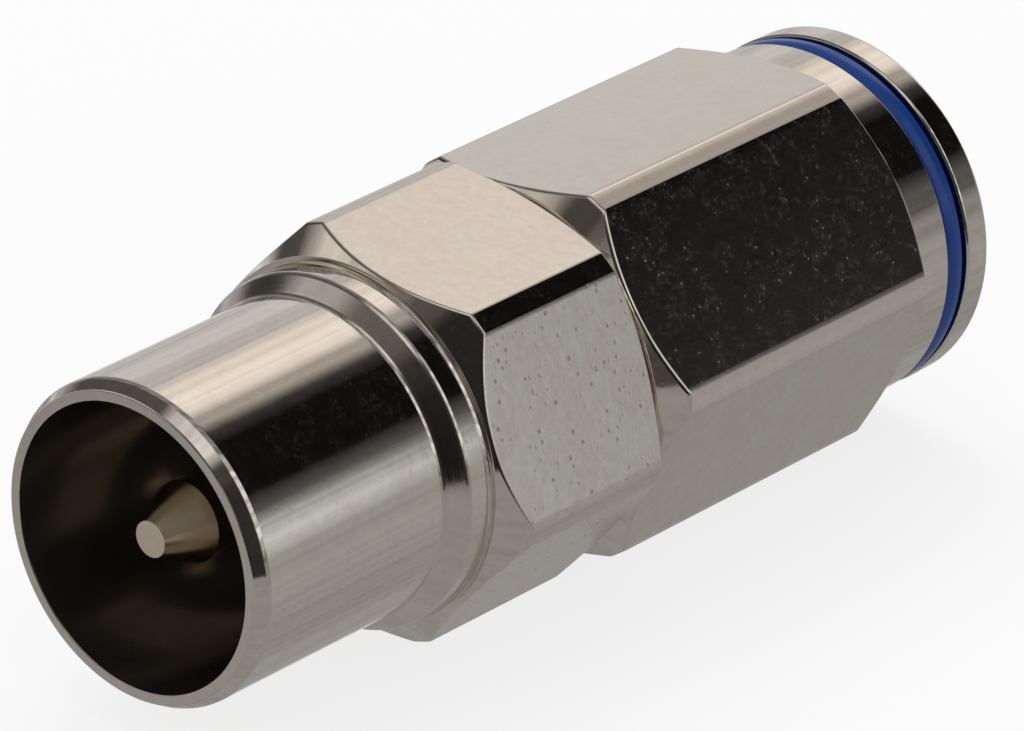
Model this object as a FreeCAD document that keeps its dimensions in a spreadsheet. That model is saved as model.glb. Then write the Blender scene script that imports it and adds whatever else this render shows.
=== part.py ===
import FreeCAD, Part
import math
import os
import Sketcher

# Coaxial aerial plug of the 9.52 mm class with a screw clamp for the cable.
# The plug's axis is +Y, from the open mouth (station 0) to the cable inlet, and +Z is up.
# It lies as it does on a table: on one corner of the front hexagon and one corner of the rear one.

doc = FreeCAD.newDocument("coaxial_plug")
sheet = doc.addObject("Spreadsheet::Sheet", "Sizes")

# Driving dimensions, in millimetres and degrees.
SIZES = [
    ("barrel_dia", 9.525, "outside of the barrel, the size that the socket takes"),
    ("barrel_wall", 0.5425, "wall of the barrel"),
    ("barrel_length", 7.34, "mouth to the start of the cone"),
    ("rim_bevel", 0.2325, "how far the bevel at the mouth comes in"),
    ("rim_bevel_length", 0.4, "length of that bevel"),
    ("cone_length", 0.56, "cone from the barrel up to the shoulder ring"),
    ("shoulder_rise", 0.4875, "shoulder ring above the barrel"),
    ("shoulder_length", 0.84, "shoulder ring"),
    ("floor_setback", 0.14, "floor round the pin, in front of the front hexagon"),
    ("hex_sides", 6, "flats of each hexagon"),
    ("corner_cut", 0.176, "what turning takes off the sharp corners of both hexagons"),
    ("cutter_overrun", 1.0, "how far a cutter passes beyond the piece"),
    ("body_hex_length", 6.68, "front hexagon"),
    ("body_hex_front_drop", 0.08, "edge of its front face below its flats"),
    ("body_hex_front_bevel", 0.755, "length of its front bevel"),
    ("body_hex_rear_drop", 0.29, "edge of its rear face below its flats"),
    ("body_hex_rear_bevel", 0.47, "length of its rear bevel"),
    ("half_twist", 22.0, "angle of each resting corner from straight down"),
    ("home_gap", 0.05, "gap between two faces that meet when screwed home"),
    ("running_gap", 0.05, "radial clearance of what turns or slides"),
    ("seat_gap", 0.03, "radial clearance of what is pressed or snapped in"),
    ("mandrel_bore", 4.9, "clears the cable's inner insulation"),
    ("mandrel_wall", 0.3, "wall of the mandrel's tube"),
    ("flange_rise", 0.62, "mandrel's flange above its tube"),
    ("flange_length", 1.2, "mandrel's flange"),
    ("mandrel_setback", 0.87, "mandrel's end, in front of the clamp ring's end"),
    ("barb_height", 0.2, "barbs that hold the braid"),
    ("barb_length", 0.9, "one barb"),
    ("barbs", 3, "number of barbs"),
    ("nose_length", 0.5, "tapered end of the tube"),
    ("jacket_step", 0.45, "from the insulators' bore out to the jacket's bore"),
    ("spigot_wall", 0.85, "wall of the spigot round the cable's jacket"),
    ("spigot_length", 7.2, "rear face of the front hexagon to the spigot's end"),
    ("spigot_chamfer", 0.35, "both ends of the thread"),
    ("thread_step", 0.27, "from the thread's bore out to the seal's bore"),
    ("seal_section", 0.9, "height and width of the seal's section, squeezed"),
    ("seal_rounding", 0.26, "rounding of the section's corners"),
    ("seal_groove_width", 1.15, "groove behind the front hexagon"),
    ("lip_height", 0.35, "lip in front of the front insulator"),
    ("lip_length", 0.6, "lip in front of the front insulator"),
    ("front_insulator_length", 3.0, "behind the lip"),
    ("pin_dia", 2.4, "centre pin"),
    ("pin_setback", 0.77, "mouth to the pin's tip"),
    ("pin_tip_dia", 1.07, "flat end of the tip"),
    ("pin_taper", 1.43, "length of the tapered tip"),
    ("pin_neck_rise", 0.2, "thicker part of the pin, inside the front insulator"),
    ("pin_collar_rise", 0.3, "collar above the neck, which stops the pin in the front insulator"),
    ("pin_collar_length", 0.5, "collar"),
    ("collet_bore", 1.1, "hole for the cable's inner conductor"),
    ("collet_wall", 0.45, "wall of the slit rear end of the pin"),
    ("collet_length", 2.1, "slit rear end of the pin"),
    ("collet_slit", 0.25, "width of each slit"),
    ("collet_slits", 4, "number of slits"),
    ("funnel_hole", 1.3, "hole of the rear insulator, between the collet and the funnel"),
    ("funnel_hole_length", 0.25, "that hole"),
    ("funnel_mouth", 4.6, "wide end of the funnel"),
    ("funnel_length", 0.8, "funnel"),
    ("clamp_step", 0.2, "from the jacket's bore in to the clamp ring's bore"),
    ("clamp_head_wall", 0.83, "wall of the clamp ring's head"),
    ("clamp_head_length", 1.4, "straight head of the clamp ring"),
    ("clamp_tail_wall", 0.38, "wall at the clamp ring's thin end"),
    ("clamp_slots", 8, "number of slots"),
    ("clamp_slot_width", 0.35, "one slot"),
    ("clamp_slot_root", 0.4, "solid ring between the head and the slots"),
    ("sleeve_wall", 0.48, "sleeve wall under its flats, round the seal"),
    ("sleeve_front_drop", 0.075, "edge of the sleeve's front face below its flats"),
    ("sleeve_front_bevel", 0.6, "length of its front bevel"),
    ("sleeve_hex_length", 11.61, "front face to the end of the rear bevel"),
    ("sleeve_rear_bevel", 0.57, "length of its rear bevel"),
    ("sleeve_mouth_bevel", 0.15, "inner edge of the front face"),
    ("seal_bore_length", 1.5, "sleeve's front bore, over the seal"),
    ("collar_drop", 0.045, "round collar and end ring below the flats"),
    ("collar_length", 1.36, "round collar"),
    ("groove_width", 0.88, "groove for the coloured ring"),
    ("groove_depth", 0.85, "groove for the coloured ring"),
    ("end_ring_length", 0.98, "behind the groove"),
    ("edge_chamfer", 0.1, "small turned edges"),
    ("inlet_length", 2.38, "cable inlet behind the clamp ring"),
    ("inlet_bevel", 0.35, "bevel of the inlet's edge"),
    ("colour_ring_width", 0.74, "coloured ring"),
    ("colour_ring_relief", 0.02, "how far it lies under the collar's surface"),
]

for row, (alias, value, note) in enumerate(SIZES, 1):
    sheet.set(f"A{row}", alias)
    sheet.set(f"B{row}", str(value))
    sheet.setAlias(f"B{row}", alias)
    sheet.set(f"C{row}", note)
doc.recompute()


class Size:
    """A length worked out from the sheet: its number, and the expression that keeps it bound."""

    def __init__(self, text, value):
        self.text = text
        self.value = value

    def _join(self, sign, other, value):
        other_text = other.text if isinstance(other, Size) else str(other)
        return Size(f"({self.text} {sign} {other_text})", value)

    def __add__(self, other):
        return self._join("+", other, self.value + number(other))

    def __sub__(self, other):
        return self._join("-", other, self.value - number(other))

    def __mul__(self, other):
        return self._join("*", other, self.value * number(other))

    def __truediv__(self, other):
        return self._join("/", other, self.value / number(other))


def number(amount):
    """The plain number of a Size or of a number."""
    return amount.value if isinstance(amount, Size) else amount


def size(alias):
    """A driving dimension of the sheet."""
    return Size(f"Sizes.{alias}", float(sheet.get(alias)))


def count(alias):
    """A whole number of the sheet."""
    return int(sheet.get(alias))


def cosine(angle):
    """The cosine of an angle in degrees."""
    return Size(f"cos({angle.text} * 1 deg)", math.cos(math.radians(angle.value)))


AXIS = Size("0", 0.0)
MOUTH = Size("0", 0.0)


def new_body(name):
    """A body for one piece, named as the piece."""
    body = doc.addObject("PartDesign::Body", name)
    body.Label = name
    return body


def origin_plane(body, role):
    """One of the body's own origin planes."""
    for feature in body.Origin.OriginFeatures:
        if feature.Role == role:
            return feature
    raise LookupError(role)


def new_sketch(body, name, role):
    """An empty sketch on one of the body's origin planes."""
    sketch = body.newObject("Sketcher::SketchObject", name)
    sketch.AttachmentSupport = (origin_plane(body, role), [""])
    sketch.MapMode = "FlatFace"
    return sketch


def bind(sketch, kind, line, place, size_value):
    """Hold one corner at a distance from the sketch's origin, or on its axis where that is nothing."""
    if size_value is AXIS or size_value is MOUTH:
        on_axis = -2 if kind == "DistanceX" else -1
        sketch.addConstraint(Sketcher.Constraint("PointOnObject", line, place, on_axis))
        return
    held = sketch.addConstraint(Sketcher.Constraint(kind, -1, 1, line, place, size_value.value))
    sketch.setExpression(f"Constraints[{held}]", size_value.text)


def closed_outline(sketch, corners):
    """Straight lines round the corners, each corner held by its two distances."""
    points = [FreeCAD.Vector(number(across), number(along), 0) for across, along in corners]
    for start, end in zip(points, points[1:] + points[:1]):
        sketch.addGeometry(Part.LineSegment(start, end), False)
    for line in range(len(points)):
        following = (line + 1) % len(points)
        sketch.addConstraint(Sketcher.Constraint("Coincident", line, 2, following, 1))
    for line, (across, along) in enumerate(corners):
        bind(sketch, "DistanceX", line, 1, across)
        bind(sketch, "DistanceY", line, 1, along)


def turn(body, name, corners):
    """Turn an outline of (radius, station) corners about the plug's axis."""
    sketch = new_sketch(body, name + "_outline", "XY_Plane")
    closed_outline(sketch, corners)
    turned = body.newObject("PartDesign::Revolution", name)
    turned.Profile = sketch
    turned.ReferenceAxis = (sketch, ["V_Axis"])
    turned.Angle = 360
    doc.recompute()
    return turned


def cut_round(body, name, low, high, half_width, start, length, copies):
    """Cut a straight-sided notch between two heights, from one station on, and repeat it round the axis."""
    sketch = new_sketch(body, name + "_outline", "XZ_Plane")
    sketch.setExpression("AttachmentOffset.Base.z", f"0 mm - {start.text} * 1 mm")
    other_side = half_width * -1
    closed_outline(sketch, [(other_side, low), (half_width, low), (half_width, high), (other_side, high)])
    before = body.Shape.Volume
    notch = body.newObject("PartDesign::Pocket", name)
    notch.Profile = sketch
    notch.Length = length.value
    notch.setExpression("Length", length.text)
    doc.recompute()
    ring = body.newObject("PartDesign::PolarPattern", name + "_round")
    ring.Originals = [notch]
    ring.Axis = (sketch, ["N_Axis"])
    ring.Angle = 360
    ring.Occurrences = copies
    body.Tip = ring
    doc.recompute()
    if body.Shape.Volume >= before:
        raise RuntimeError(name + " cut nothing")
    return ring


# Radii that more than one piece uses, from the cable's core outwards.
running_gap = size("running_gap")
seat_gap = size("seat_gap")
home_gap = size("home_gap")
edge = size("edge_chamfer")
overrun = size("cutter_overrun")

mandrel_bore_radius = size("mandrel_bore") / 2
tube_radius = mandrel_bore_radius + size("mandrel_wall")
insulator_radius = tube_radius + size("flange_rise")
insulator_bore_radius = insulator_radius + seat_gap
jacket_bore_radius = insulator_bore_radius + size("jacket_step")
thread_radius = jacket_bore_radius + size("spigot_wall")
thread_bore_radius = thread_radius + running_gap
seal_bore_radius = thread_bore_radius + size("thread_step")
flats_radius = seal_bore_radius + size("sleeve_wall")

hex_sides = count("hex_sides")
half_side = Size(f"180 / {size('hex_sides').text}", 180 / hex_sides)
corners_radius = flats_radius / cosine(half_side) - size("corner_cut")
hex_cutter_reach = corners_radius + overrun

collar_radius = flats_radius - size("collar_drop")
groove_radius = collar_radius - size("groove_depth")
clamp_bore_radius = jacket_bore_radius - size("clamp_step")
clamp_head_radius = clamp_bore_radius + size("clamp_head_wall")
clamp_tail_radius = clamp_bore_radius + size("clamp_tail_wall")

seal_outer_radius = seal_bore_radius - running_gap
seal_inner_radius = seal_outer_radius - size("seal_section")
seal_floor_radius = seal_inner_radius - seat_gap

barrel_radius = size("barrel_dia") / 2
pin_radius = size("pin_dia") / 2
pin_neck_radius = pin_radius + size("pin_neck_rise")
pin_collar_radius = pin_neck_radius + size("pin_collar_rise")
collet_bore_radius = size("collet_bore") / 2
collet_radius = collet_bore_radius + size("collet_wall")

# Stations along the axis that more than one piece uses.
shoulder_front = size("barrel_length") + size("cone_length")
body_hex_front = shoulder_front + size("shoulder_length")
body_hex_rear = body_hex_front + size("body_hex_length")
seal_groove_rear = body_hex_rear + size("seal_groove_width")
spigot_end = body_hex_rear + size("spigot_length")

bore_floor = body_hex_front - size("floor_setback")
lip_rear = bore_floor + size("lip_length")
insulators_meet = lip_rear + size("front_insulator_length")
collar_front = insulators_meet - size("pin_collar_length")
collet_rear = insulators_meet + size("collet_length")
collet_well_rear = collet_rear + running_gap
funnel_front = collet_well_rear + size("funnel_hole_length")
flange_front = funnel_front + size("funnel_length")
flange_rear = flange_front + size("flange_length")

sleeve_front = body_hex_rear + home_gap
sleeve_hex_rear = sleeve_front + size("sleeve_hex_length")
groove_front = sleeve_hex_rear + size("collar_length")
groove_rear = groove_front + size("groove_width")
sleeve_rear = groove_rear + size("end_ring_length")
sleeve_seat = sleeve_rear - size("inlet_length")

clamp_front = spigot_end + home_gap
clamp_head_rear = clamp_front + size("clamp_head_length")
clamp_rear = sleeve_seat - home_gap


# Front body: barrel, shoulder ring, hexagon and threaded spigot, turned and milled from one bar.
front_body = new_body("front_body")
barrel_bore_radius = barrel_radius - size("barrel_wall")
shoulder_radius = barrel_radius + size("shoulder_rise")
lip_radius = insulator_bore_radius - size("lip_height")
spigot_chamfer = size("spigot_chamfer")
turn(front_body, "body_turned", [
    (barrel_bore_radius, MOUTH),
    (barrel_radius - size("rim_bevel"), MOUTH),
    (barrel_radius, size("rim_bevel_length")),
    (barrel_radius, size("barrel_length")),
    (shoulder_radius, shoulder_front),
    (shoulder_radius, body_hex_front),
    (flats_radius - size("body_hex_front_drop"), body_hex_front),
    (corners_radius, body_hex_front + size("body_hex_front_bevel")),
    (corners_radius, body_hex_rear - size("body_hex_rear_bevel")),
    (flats_radius - size("body_hex_rear_drop"), body_hex_rear),
    (seal_floor_radius, body_hex_rear),
    (seal_floor_radius, seal_groove_rear),
    (thread_radius - spigot_chamfer, seal_groove_rear),
    (thread_radius, seal_groove_rear + spigot_chamfer),
    (thread_radius, spigot_end - spigot_chamfer),
    (thread_radius - spigot_chamfer, spigot_end),
    (jacket_bore_radius, spigot_end),
    (jacket_bore_radius, flange_rear),
    (insulator_bore_radius, flange_rear),
    (insulator_bore_radius, lip_rear),
    (lip_radius, lip_rear),
    (lip_radius, bore_floor),
    (barrel_bore_radius, bore_floor),
])
cut_round(front_body, "body_flat", flats_radius, hex_cutter_reach, hex_cutter_reach,
          body_hex_front, size("body_hex_length"), hex_sides)


# Front insulator: moulded bead whose nose fills the lip, with a seat for the pin's collar.
front_insulator = new_body("front_insulator")
pin_hole_radius = pin_neck_radius + seat_gap
collar_seat_radius = pin_collar_radius + seat_gap
turn(front_insulator, "front_bead", [
    (pin_hole_radius, bore_floor),
    (lip_radius - seat_gap, bore_floor),
    (lip_radius - seat_gap, lip_rear),
    (insulator_radius, lip_rear),
    (insulator_radius, insulators_meet),
    (collar_seat_radius, insulators_meet),
    (collar_seat_radius, collar_front),
    (pin_hole_radius, collar_front),
])


# Centre pin: tapered tip, neck, collar, and a slit collet that grips the cable's inner conductor.
centre_pin = new_body("centre_pin")
pin_tip = size("pin_setback")
turn(centre_pin, "pin_turned", [
    (AXIS, pin_tip),
    (size("pin_tip_dia") / 2, pin_tip),
    (pin_radius, pin_tip + size("pin_taper")),
    (pin_radius, bore_floor),
    (pin_neck_radius, bore_floor),
    (pin_neck_radius, collar_front),
    (pin_collar_radius, collar_front),
    (pin_collar_radius, insulators_meet),
    (collet_radius, insulators_meet),
    (collet_radius, collet_rear),
    (collet_bore_radius, collet_rear),
    (collet_bore_radius, insulators_meet),
    (AXIS, insulators_meet),
])
slit_half_width = size("collet_slit") / 2
slit_front = insulators_meet + size("collet_slit")
cut_round(centre_pin, "collet_slit", collet_bore_radius / 2, collet_radius + overrun, slit_half_width,
          slit_front, size("collet_length"), count("collet_slits"))


# Rear insulator: bead that clears the collet and opens to the rear in a funnel.
rear_insulator = new_body("rear_insulator")
collet_well_radius = collet_radius + running_gap
funnel_hole_radius = size("funnel_hole") / 2
turn(rear_insulator, "rear_bead", [
    (collet_well_radius, insulators_meet),
    (insulator_radius, insulators_meet),
    (insulator_radius, flange_front),
    (size("funnel_mouth") / 2, flange_front),
    (funnel_hole_radius, funnel_front),
    (funnel_hole_radius, collet_well_rear),
    (collet_well_radius, collet_well_rear),
])


# Mandrel: thin tube with a pressed-in flange and barbs, which goes in under the cable's braid.
mandrel = new_body("mandrel")
barb_radius = tube_radius + size("barb_height")
tube_end = clamp_rear - size("mandrel_setback")
barbs_front = tube_end - size("nose_length") - size("barb_length") * count("barbs")
mandrel_outline = [
    (mandrel_bore_radius, flange_front),
    (insulator_radius, flange_front),
    (insulator_radius, flange_rear),
    (tube_radius, flange_rear),
]
for barb in range(count("barbs")):
    barb_front = barbs_front + size("barb_length") * barb
    mandrel_outline += [
        (tube_radius, barb_front),
        (barb_radius, barb_front),
    ]
mandrel_outline += [
    (tube_radius, tube_end - size("nose_length")),
    (mandrel_bore_radius + size("mandrel_wall") / 2, tube_end),
    (mandrel_bore_radius, tube_end),
]
turn(mandrel, "mandrel_turned", mandrel_outline)


# Body seal: rubber ring in the groove behind the front hexagon, as squeezed by the sleeve.
body_seal = new_body("body_seal")
seal_rounding = size("seal_rounding")
seal_front = body_hex_rear + (size("seal_groove_width") - size("seal_section")) / 2
seal_rear = seal_front + size("seal_section")
turn(body_seal, "seal_moulded", [
    (seal_inner_radius, seal_front + seal_rounding),
    (seal_inner_radius + seal_rounding, seal_front),
    (seal_outer_radius - seal_rounding, seal_front),
    (seal_outer_radius, seal_front + seal_rounding),
    (seal_outer_radius, seal_rear - seal_rounding),
    (seal_outer_radius - seal_rounding, seal_rear),
    (seal_inner_radius + seal_rounding, seal_rear),
    (seal_inner_radius, seal_rear - seal_rounding),
])


# Clamp ring: moulded ring, slit into fingers from its thin end, that the sleeve's taper closes on the jacket.
clamp_ring = new_body("clamp_ring")
turn(clamp_ring, "clamp_moulded", [
    (clamp_bore_radius, clamp_front),
    (clamp_head_radius, clamp_front),
    (clamp_head_radius, clamp_head_rear),
    (clamp_tail_radius, clamp_rear),
    (clamp_bore_radius, clamp_rear),
])
slot_half_width = size("clamp_slot_width") / 2
slot_front = clamp_head_rear + size("clamp_slot_root")
cut_round(clamp_ring, "clamp_slot", clamp_bore_radius / 2, clamp_head_radius + overrun, slot_half_width,
          slot_front, clamp_rear - slot_front + overrun, count("clamp_slots"))


# Clamp sleeve: rear hexagon, collar, ring groove and end ring; inside, seal bore, thread, taper and inlet.
clamp_sleeve = new_body("clamp_sleeve")
mouth_bevel = size("sleeve_mouth_bevel")
seal_bore_rear = sleeve_front + size("seal_bore_length")
inlet_bevel = size("inlet_bevel")
turn(clamp_sleeve, "sleeve_turned", [
    (seal_bore_radius + mouth_bevel, sleeve_front),
    (flats_radius - size("sleeve_front_drop"), sleeve_front),
    (corners_radius, sleeve_front + size("sleeve_front_bevel")),
    (corners_radius, sleeve_hex_rear - size("sleeve_rear_bevel")),
    (collar_radius, sleeve_hex_rear),
    (collar_radius, groove_front),
    (groove_radius, groove_front),
    (groove_radius, groove_rear),
    (collar_radius - edge, groove_rear),
    (collar_radius, groove_rear + edge),
    (collar_radius, sleeve_rear - edge),
    (collar_radius - edge, sleeve_rear),
    (jacket_bore_radius + inlet_bevel, sleeve_rear),
    (jacket_bore_radius, sleeve_rear - inlet_bevel),
    (jacket_bore_radius, sleeve_seat),
    (clamp_tail_radius + running_gap, sleeve_seat),
    (clamp_tail_radius + running_gap, clamp_rear),
    (clamp_head_radius + running_gap, clamp_head_rear),
    (clamp_head_radius + running_gap, clamp_front + edge),
    (thread_bore_radius, spigot_end),
    (thread_bore_radius, seal_bore_rear + size("thread_step")),
    (seal_bore_radius, seal_bore_rear),
    (seal_bore_radius, sleeve_front + mouth_bevel),
])
cut_round(clamp_sleeve, "sleeve_flat", flats_radius, hex_cutter_reach, hex_cutter_reach,
          sleeve_front, size("sleeve_hex_length"), hex_sides)


# Coloured ring: plastic ring snapped into the sleeve's groove, against the groove's front wall.
colour_ring = new_body("colour_ring")
turn(colour_ring, "colour_moulded", [
    (groove_radius + seat_gap, groove_front),
    (collar_radius - size("colour_ring_relief"), groove_front),
    (collar_radius - size("colour_ring_relief"), groove_front + size("colour_ring_width")),
    (groove_radius + seat_gap, groove_front + size("colour_ring_width")),
])


# Each hexagon is cut with a flat straight up, so half a side away from a corner. Each is turned about the
# plug's axis to rest on a corner: the body's on the +X side of straight down, the sleeve's on the -X side.
half_twist = size("half_twist")
for piece, rest_angle in ((front_body, half_side - half_twist), (clamp_sleeve, half_side + half_twist)):
    about_axis = FreeCAD.Rotation(FreeCAD.Vector(0, 1, 0), rest_angle.value)
    piece.Placement = FreeCAD.Placement(FreeCAD.Vector(0, 0, 0), about_axis)
    piece.setExpression("Placement.Rotation.Angle", f"{rest_angle.text} * 1 deg")

doc.recompute()
for thing in doc.Objects:
    if "Invalid" in thing.State or "Error" in thing.State:
        raise RuntimeError(thing.Name + " did not build")

os.makedirs("parts", exist_ok=True)
for piece in doc.Objects:
    if piece.TypeId != "PartDesign::Body":
        continue
    if piece.Shape.isNull() or not piece.Shape.isValid() or len(piece.Shape.Solids) != 1:
        raise RuntimeError(piece.Label + " is not one valid solid")
    piece.Shape.exportStep(os.path.join("parts", piece.Label + ".step"))
    print(piece.Label, "volume", round(piece.Shape.Volume, 3), "mm3")
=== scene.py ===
import math
import bpy
from mathutils import Matrix, Vector


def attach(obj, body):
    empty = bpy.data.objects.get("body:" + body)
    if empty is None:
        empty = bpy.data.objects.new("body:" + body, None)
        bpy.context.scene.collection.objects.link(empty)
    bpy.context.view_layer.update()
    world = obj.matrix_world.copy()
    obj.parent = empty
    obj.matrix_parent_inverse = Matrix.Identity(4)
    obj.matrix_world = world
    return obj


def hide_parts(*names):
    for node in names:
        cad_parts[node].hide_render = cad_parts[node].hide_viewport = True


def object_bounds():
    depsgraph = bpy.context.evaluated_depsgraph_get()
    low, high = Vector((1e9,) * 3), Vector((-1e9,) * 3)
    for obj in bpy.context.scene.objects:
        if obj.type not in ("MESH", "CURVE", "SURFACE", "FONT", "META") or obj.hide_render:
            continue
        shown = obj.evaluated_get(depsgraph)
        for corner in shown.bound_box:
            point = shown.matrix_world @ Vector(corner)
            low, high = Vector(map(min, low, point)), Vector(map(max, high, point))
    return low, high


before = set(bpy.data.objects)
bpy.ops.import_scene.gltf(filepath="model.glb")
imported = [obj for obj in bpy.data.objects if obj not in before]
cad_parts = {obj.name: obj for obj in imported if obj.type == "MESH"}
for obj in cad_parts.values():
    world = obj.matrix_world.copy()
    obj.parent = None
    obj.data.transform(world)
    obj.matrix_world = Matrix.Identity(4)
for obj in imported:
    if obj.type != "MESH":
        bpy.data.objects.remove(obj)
cad_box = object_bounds()


# The camera of the photograph: a long lens, in front of the plug's mouth, to its right and a little above.
# The image is taken as 1024 x 731, and its centre is on the lens's axis.
MM = 0.001
camera_place = Vector((131.919, -140.722, 107.617)) * MM
camera_right = Vector((0.74776, 0.66243, 0.04520))
camera_up = Vector((-0.33921, 0.32261, 0.88366))
lens = bpy.data.cameras.new("photo_camera")
lens.lens = 287.46
lens.sensor_width = 36
lens.sensor_fit = "HORIZONTAL"
lens.clip_start = 0.01
camera = bpy.data.objects.new("photo_camera", lens)
bpy.context.scene.collection.objects.link(camera)
camera_axes = Matrix((camera_right, camera_up, camera_right.cross(camera_up))).transposed()
camera.matrix_world = Matrix.Translation(camera_place) @ camera_axes.to_4x4()
bpy.context.scene.camera = camera
bpy.context.scene.view_settings.view_transform = "Standard"


# The table: a plain white sheet, which keeps the plug's shadow. Seen by the camera it is part paper and part
# glow, so that it comes out white, and the plug reflects the studio that the world holds instead of it.
class Link:
    """A socket in a node tree. Sums and products of it add Math nodes, and node() adds any other node."""

    def __init__(self, socket):
        self.socket = socket

    def node(self, kind, settings=(), sockets=(), output=0):
        """Add a node. Its settings are set first, then the values or links of its sockets."""
        tree = self.socket.id_data
        made = tree.nodes.new(kind)
        for name, value in dict(settings).items():
            if name == "stops":
                ramp = made.color_ramp
                while len(ramp.elements) < len(value):
                    ramp.elements.new(0.5)
                for stop, (position, shade) in zip(ramp.elements, value):
                    stop.position = position
                    stop.color = (*shade, 1)
            else:
                setattr(made, name, value)
        for name, value in dict(sockets).items():
            if isinstance(value, Link):
                tree.links.new(value.socket, made.inputs[name])
            else:
                made.inputs[name].default_value = value
        return Link(made.outputs[output])

    def math(self, operation, *values):
        """Add a Math node that works on these values."""
        return self.node("ShaderNodeMath", {"operation": operation}, enumerate(values))

    def __add__(self, other):
        return self.math("ADD", self, other)

    def __sub__(self, other):
        return self.math("SUBTRACT", self, other)

    def __mul__(self, other):
        return self.math("MULTIPLY", self, other)

    def __truediv__(self, other):
        return self.math("DIVIDE", self, other)

    def __rsub__(self, other):
        return self.math("SUBTRACT", other, self)

    __radd__ = __add__
    __rmul__ = __mul__

    def into(self, node, name):
        """Join this to a node's socket."""
        self.socket.id_data.links.new(self.socket, node.inputs[name])


floor_height = cad_box[0][2]
floor_half = 3.0
sheet = bpy.data.meshes.new("table")
corners = [(-floor_half, -floor_half), (floor_half, -floor_half), (floor_half, floor_half), (-floor_half, floor_half)]
sheet.from_pydata([(x, y, floor_height) for x, y in corners], [], [(0, 1, 2, 3)])
table = bpy.data.objects.new("table", sheet)
bpy.context.scene.collection.objects.link(table)
table.visible_glossy = False
paper = bpy.data.materials.new("white_paper")
paper.use_nodes = True
paper_nodes = paper.node_tree.nodes
paper_nodes.clear()
seen = Link(paper_nodes.new("ShaderNodeLightPath").outputs["Is Camera Ray"])
matt = seen.node("ShaderNodeBsdfDiffuse", sockets={"Color": (0.82, 0.82, 0.82, 1)})
glow = seen.node("ShaderNodeEmission", sockets={"Color": (1, 1, 1, 1), "Strength": 1})
page = seen.node("ShaderNodeMixShader", sockets={0: seen * 0.8, 1: matt, 2: glow})
page.into(paper_nodes.new("ShaderNodeOutputMaterial"), "Surface")
sheet.materials.append(paper)

# The studio: even white light all round, one soft lamp high on the left, and what bright metal mirrors. That is
# cards that stand round the plug's axis in rings. Each ring is what faces that lean forward by so much mirror to
# the lens: the first is for faces along the axis, the last for faces square to it. Below is the lit table.
studio = bpy.data.worlds.new("studio")
bpy.context.scene.world = studio
studio.use_nodes = True
studio_nodes = studio.node_tree.nodes
studio_nodes.clear()
path = studio_nodes.new("ShaderNodeLightPath")
mirrored = Link(path.outputs["Is Glossy Ray"])
viewed = Link(path.outputs["Is Camera Ray"]) + Link(path.outputs["Is Transmission Ray"])
looks_to = Link(studio_nodes.new("ShaderNodeTexCoord").outputs["Generated"])
to_x, to_y, to_z = (looks_to.node("ShaderNodeSeparateXYZ", sockets={0: looks_to}, output=axis) for axis in range(3))
round_axis = to_x.math("ARCTAN2", to_x, to_z) / math.tau + 0.5
# How far a mirror leans forward when it shows this side of the room to the lens: it looks half-way between the two.
lens_side = Vector((0.571, -0.676, 0.466))
to_lens = looks_to.node("ShaderNodeVectorMath", {"operation": "DOT_PRODUCT"}, {0: looks_to, 1: lens_side}, output=1)
half_way = to_lens.math("MAXIMUM", to_lens.math("SQRT", to_lens * 0.5 + 0.5), 0.4)
lean = (-lens_side.y - to_y) / (half_way * 2)
WARM = (1.07, 0.985, 0.915)
PLAIN = (1.02, 0.995, 0.985)
COOL = (0.9, 0.968, 0.995)


def card_ring(*cards):
    """Cards round the axis: where each starts and ends in degrees from straight up towards +X, how bright, hue."""
    stops = []
    for start, end, bright, hue in cards:
        stops += [((degrees + 180) / 360, tuple(bright * channel for channel in hue)) for degrees in (start, end)]
    return round_axis.node("ShaderNodeValToRGB", {"stops": stops}, {0: round_axis})


along = card_ring((-180, -148, 0.36, PLAIN), (-132, -122, 0.9, PLAIN), (-112, -94, 0.56, PLAIN),
                  (-82, -68, 0.69, PLAIN), (-58, -50, 0.58, PLAIN), (-43, -36, 0.9, WARM), (-31, -17, 1.01, WARM),
                  (-10, -5, 0.47, WARM), (5, 8, 0.035, PLAIN), (14, 52, 0.0045, PLAIN), (66, 76, 0.12, PLAIN),
                  (82, 94, 0.3, PLAIN), (98, 126, 0.4, PLAIN), (150, 180, 0.34, PLAIN))
white_card = card_ring((-180, 65, 0, COOL), (74, 90, 0.44, COOL), (98, 180, 0, COOL))
softened_edges = card_ring((-180, -140, 0.36, PLAIN), (-125, -105, 0.9, PLAIN), (-85, -50, 0.3, PLAIN),
                           (-35, 22, 0.35, PLAIN), (38, 80, 1.0, PLAIN), (88, 180, 0.34, PLAIN))
at_rim = card_ring((-180, -150, 0.33, PLAIN), (-125, -113, 0.95, PLAIN), (-104, -96, 0.5, PLAIN),
                   (-80, -20, 0.09, WARM), (-9, 3, 0.72, PLAIN), (10, 19, 0.86, PLAIN), (30, 38, 0.06, WARM),
                   (48, 180, 0.03, WARM))
at_cone = card_ring((-180, -155, 0.27, PLAIN), (-130, -110, 0.9, PLAIN), (-103, -94, 0.42, PLAIN),
                    (-85, -68, 0.04, WARM), (-55, -34, 0.46, PLAIN), (-21, -7, 0.14, WARM), (0, 12, 0.13, WARM),
                    (24, 34, 0.03, WARM), (46, 180, 0.008, WARM))
at_bevel = card_ring((-180, -155, 0.25, PLAIN), (-120, -90, 0.9, PLAIN), (-81, -72, 0.08, WARM),
                     (-61, -50, 0.76, WARM), (-44, -37, 0.6, WARM), (-25, -12, 0.19, WARM), (-6, 4, 0.1, WARM),
                     (13, 180, 0.02, WARM))
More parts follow.
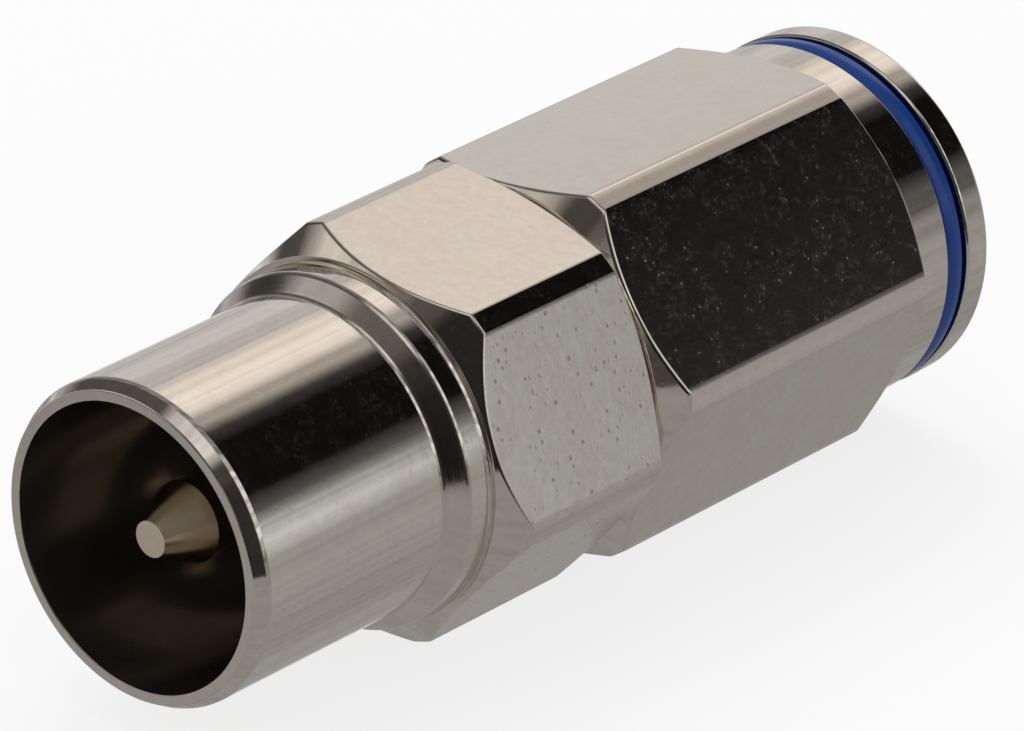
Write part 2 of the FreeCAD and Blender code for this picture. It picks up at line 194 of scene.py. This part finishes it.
at_sleeve = card_ring((-180, -150, 0.3, PLAIN), (-110, -34, 0.58, WARM), (-21, -6, 0.07, WARM),
                      (9, 15, 0.22, WARM), (22, 26, 0.09, WARM), (38, 44, 0.32, WARM), (52, 68, 0.23, WARM),
                      (82, 180, 0.07, WARM))
at_mouth = card_ring((-180, -100, 0.3, PLAIN), (-80, -60, 0.05, WARM), (-50, -35, 0.12, WARM),
                     (-25, 10, 0.03, WARM), (20, 35, 0.07, WARM), (45, 180, 0.02, WARM))


def between(value, low, high, bottom=0.0, top=1.0):
    """A value's place between low and high, brought to bottom and top with soft ends."""
    return value.node("ShaderNodeMapRange", {"interpolation_type": "SMOOTHSTEP"},
                      {0: value, 1: low, 2: high, 3: bottom, 4: top})


def blend(value, first, second, way="MIX"):
    """A colour between two, by a value from 0 to 1, or the second added to the first."""
    return value.node("ShaderNodeMix", {"data_type": "RGBA", "blend_type": way}, {0: value, 6: first, 7: second},
                      output=2)


def uneven(ring, folds_round, low, high):
    """A ring whose brightness changes from low to high in many folds round the axis."""
    folds = ring.node("ShaderNodeTexNoise", {"noise_dimensions": "1D", "normalize": True},
                      {"W": round_axis, "Scale": folds_round, "Detail": 3, "Roughness": 0.6})
    share = between(folds, 0.36, 0.64, low, high)
    return ring.node("ShaderNodeVectorMath", {"operation": "SCALE"}, {0: ring, "Scale": share})


def by_lean(first, start, end, second):
    """The first ring for faces that lean less than start, the second for those that lean more than end."""
    return blend(between(lean, start, end), first, second)


in_front = uneven(softened_edges, 60, 0.55, 1.0)
for ring, start, end in ((at_rim, 0.34, 0.42), (at_cone, 0.55, 0.62), (at_bevel, 0.675, 0.695),
                         (at_sleeve, 0.73, 0.76), (at_mouth, 0.82, 0.92)):
    in_front = by_lean(in_front, start, end, ring)
lit_table = tuple(0.34 * channel for channel in PLAIN) + (1,)
above_table = blend(between(to_z, -0.17, -0.21), in_front, lit_table)
along_lit = blend(between(to_y, 0.65, 0.70, 1, 0), along, white_card, "ADD")
mirror_view = uneven(by_lean(along_lit, 0.08, 0.15, above_table), 70, 0.92, 1.08)
reflected = mirror_view.node("ShaderNodeBackground", sockets={"Color": mirror_view})
around = viewed.node("ShaderNodeBackground", sockets={"Color": (1, 1, 1, 1), "Strength": 0.72})
backdrop = viewed.node("ShaderNodeBackground", sockets={"Color": (1, 1, 1, 1)})
plain = viewed.node("ShaderNodeMixShader", sockets={0: viewed, 1: around, 2: backdrop})
whole = mirrored.node("ShaderNodeMixShader", sockets={0: mirrored, 1: plain, 2: reflected})
whole.into(studio_nodes.new("ShaderNodeOutputWorld"), "Surface")

key = bpy.data.lights.new("soft_key", "AREA")
key.shape = "SQUARE"
key.size = 0.35
key.energy = 1.1
key_lamp = bpy.data.objects.new("soft_key", key)
bpy.context.scene.collection.objects.link(key_lamp)
key_lamp.location = (-0.22, 0.1, 0.42)
key_lamp.rotation_euler = (Vector((0, 0.015, 0)) - key_lamp.location).to_track_quat("-Z", "Y").to_euler()
key_lamp.visible_glossy = False


# Front body: barrel, shoulder ring, hexagon and threaded spigot, turned and milled from one brass bar and
# nickel plated. Its edges are slightly rounded by the plating, and its flats carry the milling's small pits.
flats_radius = 5.5
corners_radius = 6.1749
body_corner = 38
barrel_radius = 4.7625
barrel_bore = 4.22
shoulder_radius = 5.25
barrel_length = 7.34
shoulder_front = 7.9
body_hex_front = 8.74
body_hex_rear = 15.42
rim_bevel = 0.2325
rim_bevel_length = 0.4
tool_nose_rise = 0.03
tool_nose_length = 0.11
body_front_drop = 0.08
body_front_bevel = 0.755
body_rear_drop = 0.29
body_rear_bevel = 0.47
bore_floor = 8.6
lip_rear = 9.2
flange_rear = 16.6
spigot_end = 22.62
seal_floor = 4.04
seal_groove_rear = 16.57
thread_radius = 4.7
thread_bore = 4.75
jacket_bore = 3.85
insulator_bore = 3.4
lip_bore = 3.05
thread_pitch = 0.75
thread_depth = 0.4
thread_fade = 0.35
TURNED, FLATS, BORED, CUT = 0, 1, 2, 3
strip = 30 - math.degrees(math.acos(flats_radius / corners_radius))
flat_rounding = 1.3
strip_rounding = 0.4


def hexagon_angles(corner):
    """Angles round the axis for a hexagon: close together at its turned strips, where the corners were."""
    side = [-strip - flat_rounding, -strip, -strip + strip_rounding, -strip / 2, 0, strip / 2,
            strip - strip_rounding, strip, strip + flat_rounding]
    flat_steps = 16
    flat_angle = 60 - 2 * side[-1]
    side += [side[-1] + flat_angle * step / flat_steps for step in range(1, flat_steps)]
    return [corner + 60 * turn_count + angle for turn_count in range(6) for angle in side]


def off_corner(angle, corner):
    """Degrees from the nearest corner of the hexagon."""
    return (angle - corner + 30) % 60 - 30


def hexagon_radius(angle, corner):
    """How far the hexagon's surface is from the axis at that angle: a milled flat or the turned strip."""
    off_flat = 30 - abs(off_corner(angle, corner))
    return min(corners_radius, flats_radius / math.cos(math.radians(off_flat)))


def outwards(angle):
    """The direction straight away from the axis."""
    return Vector((math.sin(math.radians(angle)), 0, math.cos(math.radians(angle))))


def face_direction(angle, corner, finish):
    """Which way a face looks round the axis. A flat looks one way all over, and its edges are polished round."""
    off = off_corner(angle, corner)
    flat = outwards(angle - off + math.copysign(30, off))
    if finish != FLATS or abs(off) < strip - 0.001:
        return outwards(angle)
    return flat if abs(off) > strip + 0.001 else (flat + outwards(angle)).normalized()


def bevel_end(radius, face_radius, face_station, bevel):
    """Where a turned bevel that starts on an end face reaches that radius."""
    return face_station + bevel * (radius - face_radius) / (corners_radius - face_radius)


def section_rows(points, angle, corner):
    """Rows of a section as (radius, station, direction they face, finish). Each corner becomes three rows."""
    ways = []
    for (radius, station, finish, _), (next_radius, next_station, *_) in zip(points, points[1:] + points[:1]):
        across = Vector((next_station - station, radius - next_radius)).normalized()
        ways.append(face_direction(angle, corner, finish) * across.x + Vector((0, across.y, 0)))
    rows = []
    for place, (radius, station, finish, width) in enumerate(points):
        before, after = ways[place - 1], ways[place]
        between_them = (before + after).normalized()
        if not width:
            rows.append((radius, station, between_them, finish))
            continue
        here = Vector((radius, station))
        ends = []
        for other in (points[place - 1], points[(place + 1) % len(points)]):
            way = Vector(other[:2]) - here
            ends.append(here + way * min(0.4, width / way.length))
        middle = here * 0.5 + (ends[0] + ends[1]) * 0.25
        rows += [(*ends[0], before, points[place - 1][2]), (*middle, between_them, finish),
                 (*ends[1], after, finish)]
    return rows


def turned_piece(name, angles, outline, finishes, corner=0):
    """Mesh of a turned piece, from an outline(angle) of (radius, station, finish, width of its rounded corner)."""
    columns = [section_rows(outline(angle), angle, corner) for angle in angles]
    length = len(columns[0])
    points, facing, faces, on_faces = [], [], [], []
    for angle, column in zip(angles, columns):
        points += [(outwards(angle) * radius + Vector((0, station, 0))) * MM for radius, station, *_ in column]
        facing += [way for _, _, way, _ in column]
    for first, angle in enumerate(angles):
        second = (first + 1) % len(angles)
        half_step = ((angles[second] - angle) % 360) / 2
        on_strip = abs(off_corner(angle + half_step, corner)) < strip
        for row, (_, _, _, finish) in enumerate(columns[first]):
            following = (row + 1) % length
            faces.append((first * length + row, second * length + row, second * length + following,
                          first * length + following))
            on_faces.append(TURNED if finish == FLATS and on_strip else finish)
    mesh = bpy.data.meshes.new(name)
    mesh.from_pydata(points, [], faces)
    for finish in finishes:
        mesh.materials.append(finish)
    mesh.polygons.foreach_set("material_index", on_faces)
    mesh.shade_smooth()
    mesh.normals_split_custom_set_from_vertices(facing)
    piece = bpy.data.objects.new(name, mesh)
    bpy.context.scene.collection.objects.link(piece)
    return piece


def thread_rows(angle, start, end, outer_radius, depth, depth_at_ends):
    """Rows of a right-hand thread. Both its ends fade to a share of its depth: all on a spigot, none in a bore."""
    rows_a_turn = 12
    flank_steepness = 2.9
    half_crest = 0.3
    rows = []
    count = round((end - start) / thread_pitch * rows_a_turn)
    for row in range(count + 1):
        station = start + (end - start) * row / count
        phase = (station / thread_pitch - angle / 360) % 1
        groove = min(1, max(0, abs(phase - 0.5) * flank_steepness - half_crest))
        whole = min(1, min(station - start, end - station) / thread_fade)
        share = depth_at_ends + (groove - depth_at_ends) * whole
        rows.append((outer_radius - depth * share, station, TURNED, 0))
    return rows


def body_outline(angle):
    """The body's section: the outside from the mouth to the spigot's end, then the bores back to the mouth."""
    hexagon = hexagon_radius(angle, body_corner)
    front_face = flats_radius - body_front_drop
    rear_face = flats_radius - body_rear_drop
    return [
        (barrel_bore, 0, TURNED, 0.04),
        (barrel_radius - rim_bevel, 0, TURNED, 0.05),
        (barrel_radius, rim_bevel_length, TURNED, 0.13),
        (barrel_radius, barrel_length, CUT, 0.11),
        (shoulder_radius, shoulder_front, TURNED, 0.11),
        (shoulder_radius, body_hex_front - tool_nose_length, TURNED, 0.04),
        (shoulder_radius + tool_nose_rise, body_hex_front, TURNED, 0.015),
        (front_face, body_hex_front, TURNED, 0.03),
        (hexagon, bevel_end(hexagon, front_face, body_hex_front, body_front_bevel), FLATS, 0.08),
        (hexagon, bevel_end(hexagon, rear_face, body_hex_rear, -body_rear_bevel), TURNED, 0.06),
        (rear_face, body_hex_rear, TURNED, 0.05),
        (seal_floor, body_hex_rear, TURNED, 0.03),
        (seal_floor, seal_groove_rear, TURNED, 0.03),
        *thread_rows(angle, seal_groove_rear, spigot_end, thread_radius, thread_depth, 1),
        (jacket_bore, spigot_end, BORED, 0.05),
        (jacket_bore, flange_rear, BORED, 0.02),
        (insulator_bore, flange_rear, BORED, 0.02),
        (insulator_bore, lip_rear, BORED, 0.02),
        (lip_bore, lip_rear, BORED, 0.02),
        (lip_bore, bore_floor, BORED, 0.02),
        (barrel_bore, bore_floor, BORED, 0.03),
    ]


def new_finish(name):
    """A material, its shader node, and the place on the piece in millimetres."""
    finish = bpy.data.materials.new(name)
    finish.use_nodes = True
    nodes = finish.node_tree.nodes
    place = Link(nodes.new("ShaderNodeTexCoord").outputs["Object"])
    in_mm = place.node("ShaderNodeVectorMath", {"operation": "SCALE"}, {0: place, "Scale": 1 / MM})
    return finish, nodes["Principled BSDF"], in_mm


def grain(place, scale, detail=2.0, roughness=0.5, stretch=(1, 1, 1)):
    """Noise about 0.5, of that many grains to the millimetre, drawn out along an axis if asked."""
    drawn = place.node("ShaderNodeVectorMath", {"operation": "MULTIPLY"}, {0: place, 1: stretch})
    return drawn.node("ShaderNodeTexNoise", {"normalize": True},
                      {"Vector": drawn, "Scale": scale, "Detail": detail, "Roughness": roughness})


def nickel(name, smooth, peel=0.3, pits=0.0, specks=0.0, lines=0.0, dull=0.0, tone=(1, 1, 1)):
    """Nickel plate: its roughness; how much it has of orange peel, pits, specks, tool rings and dull film; tone.

    The pits are on the right-hand side alone, where the photograph shows them.
    """
    finish, shader, place = new_finish(name)
    cloud = grain(place, 0.7, 3)
    mottle = grain(place, 2.3, 3)
    fine = grain(place, 8, 3, 0.6)
    rings = grain(place, 1.0, 2, 0.6, (0.15, 30, 0.15))
    cells = place.node("ShaderNodeTexVoronoi", sockets={"Vector": place, "Scale": 3.1, "Randomness": 1})
    to_right = place.node("ShaderNodeSeparateXYZ", sockets={0: place})
    pitted = between(grain(place, 3.1), 0.4, 0.6) * between(to_right, 3.5, 4.2) * pits
    pit = between(cells, 0.04, 0.3, 1, 0) * pitted
    bits = place.node("ShaderNodeTexVoronoi", sockets={"Vector": place, "Scale": 5, "Randomness": 1})
    haze = between(grain(place, 1.6, 2), 0.4, 0.64)
    scuff = haze * between(grain(place, 6, 3, 0.7), 0.46, 0.7) * specks
    speck = between(bits, 0.0, 0.34, 1, 0) * haze * between(grain(place, 5.3), 0.38, 0.6) * specks
    first = tuple(part * channel for part, channel in zip(tone, (0.71, 0.638, 0.59))) + (1,)
    second = tuple(part * channel for part, channel in zip(tone, (0.715, 0.69, 0.615))) + (1,)
    plate = blend(between(mottle * 0.6 + cloud * 0.4, 0.36, 0.64), first, second)
    shade = between(grain(place, 3.5, 4, 0.6), 0.38, 0.62) * (0.07 * peel)
    blend(pit * 0.5 + shade, plate, (0.2, 0.16, 0.12, 1)).into(shader, "Base Color")
    (1 - dull - speck * 0.06 - scuff * 0.045).into(shader, "Metallic")
    roughness = smooth + mottle * 0.03 + fine * 0.03 + pit * 0.2 + speck * 0.3 + (rings - 0.5) * (0.1 * lines)
    roughness.into(shader, "Roughness")
    height = cloud * 0.3 + mottle * (0.3 * peel) + fine * (0.11 * peel) + rings * (0.1 * lines) - pit * 0.45
    relief = height.node("ShaderNodeBump", sockets={"Strength": 1, "Distance": 0.012 * MM, "Height": height})
    relief.into(shader, "Normal")
    return finish


turned_nickel = nickel("turned_nickel", 0.04, 0.25, 0.1, 0.35, 0.15)
body_flats = nickel("body_flats", 0.2, 1.0, 1.0, 0.3)
sleeve_flats = nickel("sleeve_flats", 0.06, 0.35, 0.15, 1.0)
# The bores' nickel has a darker tone than the outside's: painted shade for the hollow inside of the bores.
shaded_bore_nickel = nickel("shaded_bore_nickel", 0.12, 0.3, lines=0.15, dull=0.02, tone=(0.68, 0.67, 0.66))
cut_nickel = nickel("cut_nickel", 0.1, 0.5, specks=0.2, lines=1.6)

front_body = turned_piece("plated_body", hexagon_angles(body_corner), body_outline,
                          [turned_nickel, body_flats, shaded_bore_nickel, cut_nickel], body_corner)
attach(front_body, "plug_body")
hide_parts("front_body")


# Centre pin: turned brass, plated as the body is. A tapered tip with a small flat, a plain shank, and behind
# the insulator a slit collet that the cable's inner conductor is pushed into. The CAD solid is right as it is.
# Its nickel has a warmer tone than the body's: a painted reflection of the brown bore round the pin.
pin_nickel_with_painted_reflection = nickel("pin_nickel_with_painted_reflection", 0.1, 0.3, lines=0.3, tone=(1.14, 1.08, 0.95))
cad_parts["centre_pin"].material_slots[0].material = pin_nickel_with_painted_reflection


# Clamp sleeve: rear hexagon, round collar, ring groove and end ring, turned and milled from brass and plated.
# Inside are a bore over the seal, a thread, the taper that closes the clamp ring, and the cable inlet.
sleeve_corner = 22 + 180
sleeve_front = 15.47
sleeve_hex_rear = 27.08
groove_front = 28.44
groove_rear = 29.32
sleeve_rear = 30.3
sleeve_seat = 27.92
sleeve_front_drop = 0.075
sleeve_front_bevel = 0.6
sleeve_rear_bevel = 0.57
collar_radius = 5.455
groove_floor = 4.605
edge_bevel = 0.1
groove_edge_drop = 0.04
groove_edge_bevel = 0.06
seal_bore = 5.02
seal_bore_length = 1.5
mouth_bevel = 0.15
thread_step = 0.27
inlet_bevel = 0.35
clamp_head = 4.48
clamp_tail = 4.03
running_gap = 0.05
sleeve_thread_depth = 0.25
clamp_front = 22.67
clamp_head_rear = 24.07


def sleeve_outline(angle):
    """The sleeve's section: the outside from its front face to its rear face, then the bores back to the front."""
    hexagon = hexagon_radius(angle, sleeve_corner)
    face = flats_radius - sleeve_front_drop
    seal_bore_rear = sleeve_front + seal_bore_length
    thread_start = seal_bore_rear + thread_step
    inside_thread = thread_rows(angle, thread_start, spigot_end, thread_bore, sleeve_thread_depth, 0)
    return [
        (seal_bore + mouth_bevel, sleeve_front, TURNED, 0.04),
        (face, sleeve_front, TURNED, 0.05),
        (hexagon, bevel_end(hexagon, face, sleeve_front, sleeve_front_bevel), FLATS, 0.1),
        (hexagon, bevel_end(hexagon, collar_radius, sleeve_hex_rear, -sleeve_rear_bevel), TURNED, 0.06),
        (collar_radius, sleeve_hex_rear, TURNED, 0.06),
        (collar_radius, groove_front, TURNED, 0.06),
        (groove_floor, groove_front, TURNED, 0.03),
        (groove_floor, groove_rear, TURNED, 0.03),
        (collar_radius - groove_edge_drop, groove_rear, TURNED, 0.02),
        (collar_radius, groove_rear + groove_edge_bevel, TURNED, 0.05),
        (collar_radius, sleeve_rear - edge_bevel, TURNED, 0.08),
        (collar_radius - edge_bevel, sleeve_rear, TURNED, 0.05),
        (jacket_bore + inlet_bevel, sleeve_rear, BORED, 0.06),
        (jacket_bore, sleeve_rear - inlet_bevel, BORED, 0.06),
        (jacket_bore, sleeve_seat, BORED, 0.03),
        (clamp_tail + running_gap, sleeve_seat, BORED, 0.02),
        (clamp_tail + running_gap, sleeve_seat - running_gap, BORED, 0.02),
        (clamp_head + running_gap, clamp_head_rear, BORED, 0.03),
        (clamp_head + running_gap, clamp_front + edge_bevel, BORED, 0.03),
        *reversed(inside_thread),
        (seal_bore, seal_bore_rear, BORED, 0.03),
        (seal_bore, sleeve_front + mouth_bevel, BORED, 0.03),
    ]


clamp_sleeve = turned_piece("plated_sleeve", hexagon_angles(sleeve_corner), sleeve_outline,
                            [turned_nickel, sleeve_flats, shaded_bore_nickel], sleeve_corner)
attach(clamp_sleeve, "screw_sleeve")
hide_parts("clamp_sleeve")


# Coloured ring: blue plastic, moulded and snapped into the sleeve's groove against its front wall. It is
# crowned, with its highest line a hair under the collar and nearer its rear edge.
ring_length = 0.74
ring_relief = 0.02
ring_floor_gap = 0.03
ring_crown = collar_radius - ring_relief


def ring_outline(angle):
    """The ring's section, the same all round: its floor, and a crown of five points."""
    floor = groove_floor + ring_floor_gap
    return [
        (floor, groove_front, TURNED, 0.03),
        (ring_crown - 0.16, groove_front, TURNED, 0.03),
        (ring_crown - 0.06, groove_front + 0.18, TURNED, 0.1),
        (ring_crown, groove_front + 0.44, TURNED, 0.1),
        (ring_crown - 0.02, groove_front + 0.67, TURNED, 0.04),
        (ring_crown - 0.11, groove_front + ring_length, TURNED, 0.03),
        (floor, groove_front + ring_length, TURNED, 0.03),
    ]


def moulded(name, colours, clouds, roughness, skin, relief):
    """Moulded plastic or rubber: two colours in soft clouds, roughness as (grains, change, least), a skin in relief."""
    finish, shader, place = new_finish(name)
    blend(grain(place, clouds, 3), *colours).into(shader, "Base Color")
    grains, change, least = roughness
    (grain(place, grains, 2) * change + least).into(shader, "Roughness")
    height = grain(place, *skin)
    strength, depth = relief
    bumps = height.node("ShaderNodeBump", sockets={"Strength": strength, "Distance": depth * MM, "Height": height})
    bumps.into(shader, "Normal")
    return finish


blue_plastic = moulded("blue_plastic", [(0.005, 0.033, 0.17, 1), (0.008, 0.042, 0.205, 1)], 1.1,
                       (9, 0.12, 0.12), (12, 2), (0.6, 0.008))
blue_plastic.node_tree.nodes["Principled BSDF"].inputs["Specular IOR Level"].default_value = 0.35

colour_ring = turned_piece("blue_ring", [angle * 2 for angle in range(180)], ring_outline, [blue_plastic])
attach(colour_ring, "screw_sleeve")
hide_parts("colour_ring")


# Insulators: two moulded beads of black plastic, pressed into the body's bore. The front one holds the pin in the
# middle and the rear one leads the cable's inner conductor into the collet. The CAD solids are right as they are.
bead_plastic = moulded("bead_plastic", [(0.025, 0.025, 0.026, 1), (0.036, 0.036, 0.037, 1)], 1.5,
                       (8, 0.2, 0.35), (1, 2, 0.6, (0.2, 12, 0.2)), (0.5, 0.01))
for bead in ("front_insulator", "rear_insulator"):
    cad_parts[bead].material_slots[0].material = bead_plastic


# Mandrel: thin brass tube with three barbs, turned and plated, and pressed into the body by its flange. It goes
# between the cable's inner insulation and its braid. The CAD solid is right as it is.
mandrel_nickel = nickel("mandrel_nickel", 0.2, 0.3, specks=0.1, lines=1.0)
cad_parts["mandrel"].material_slots[0].material = mandrel_nickel


# Clamp ring: white plastic, moulded with a solid head and slit fingers. It lies loose in the sleeve's taper,
# which closes the fingers on the cable's jacket as the sleeve is screwed home. The CAD solid is right as it is.
clamp_plastic = moulded("clamp_plastic", [(0.76, 0.76, 0.73, 1), (0.84, 0.84, 0.82, 1)], 1.2,
                        (8, 0.15, 0.4), (10, 2), (0.5, 0.008))
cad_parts["clamp_ring"].material_slots[0].material = clamp_plastic


# Body seal: black rubber O-ring, stretched over the spigot into the groove behind the front hexagon. The sleeve's
# front bore slides over it. It is round where nothing squeezes it.
seal_section = 0.45
seal_middle = 4.52
seal_station = 15.995
seal_steps = 20


def seal_outline(angle):
    """The seal's round section, the same all round."""
    steps = [math.tau * step / seal_steps for step in range(seal_steps)]
    return [(seal_middle - seal_section * math.cos(turn), seal_station - seal_section * math.sin(turn), TURNED, 0)
            for turn in steps]


seal_rubber = moulded("seal_rubber", [(0.012, 0.012, 0.013, 1), (0.03, 0.03, 0.031, 1)], 2,
                      (10, 0.2, 0.45), (14, 2), (0.5, 0.01))
body_seal = turned_piece("rubber_seal", [angle * 3 for angle in range(120)], seal_outline, [seal_rubber])
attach(body_seal, "plug_body")
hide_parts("body_seal")
